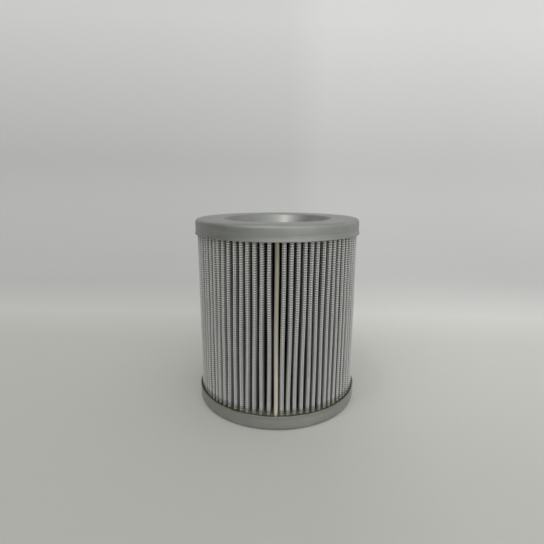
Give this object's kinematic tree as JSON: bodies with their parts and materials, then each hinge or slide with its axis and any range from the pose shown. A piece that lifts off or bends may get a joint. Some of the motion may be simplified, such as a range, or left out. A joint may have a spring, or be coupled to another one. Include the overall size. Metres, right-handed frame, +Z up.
{
  "type": "return line filter element",
  "caption": "Round pleated filter element: stamped dished end caps, mesh-faced pleats round a perforated tube, a seam clip and a rubber seal in the lower cap.",
  "frame": {"origin": "on the floor under the centre of the lower end cap, which the element stands on", "axes": "+Z up along the element's axis, -Y towards the seam clip"},
  "size_m": [0.1, 0.1, 0.1138],
  "materials": {
    "cap_metal": "satin",
    "adhesive": "satin",
    "tube_metal": "satin",
    "pleat_mesh": "matte",
    "clip_metal": "satin",
    "seal_rubber": "matte"
  },
  "bodies": {
    "root": {"bottom_end_cap": "cap_metal", "top_end_cap": "cap_metal", "bottom_adhesive": "adhesive", "top_adhesive": "adhesive", "core_tube": "tube_metal", "pleated_pack": "pleat_mesh", "seam_clip": "clip_metal", "seal_grommet": "seal_rubber"}
  },
  "joints": []
}
